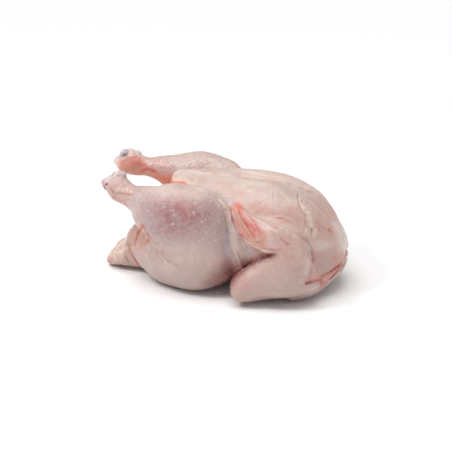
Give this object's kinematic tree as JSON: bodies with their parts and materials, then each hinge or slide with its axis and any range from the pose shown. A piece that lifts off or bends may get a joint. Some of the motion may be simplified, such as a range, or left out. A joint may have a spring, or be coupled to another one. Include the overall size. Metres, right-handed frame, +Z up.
{
  "type": "whole raw chicken",
  "caption": "Whole raw plucked chicken lying on its back, breast up, with spread drumsticks, folded wings, tail and an open body cavity.",
  "frame": {"origin": "under the middle of the bird's bounding box, on the surface that its back rests on", "axes": "+X towards the neck end, +Y towards the bird's right side, +Z up through the breast"},
  "size_m": [0.2772, 0.1788, 0.1233],
  "materials": {
    "skin": "moist raw poultry skin, pale cream pink with fine goose bumps and a soft wet sheen",
    "flesh": "wet raw flesh and cavity lining, dark pink to red",
    "cartilage": "wet grey-white joint cartilage with dark red marrow spots",
    "fat": "soft yellowish fat at the cut skin edges"
  },
  "bodies": {
    "root": {"chicken": "skin"}
  },
  "joints": []
}
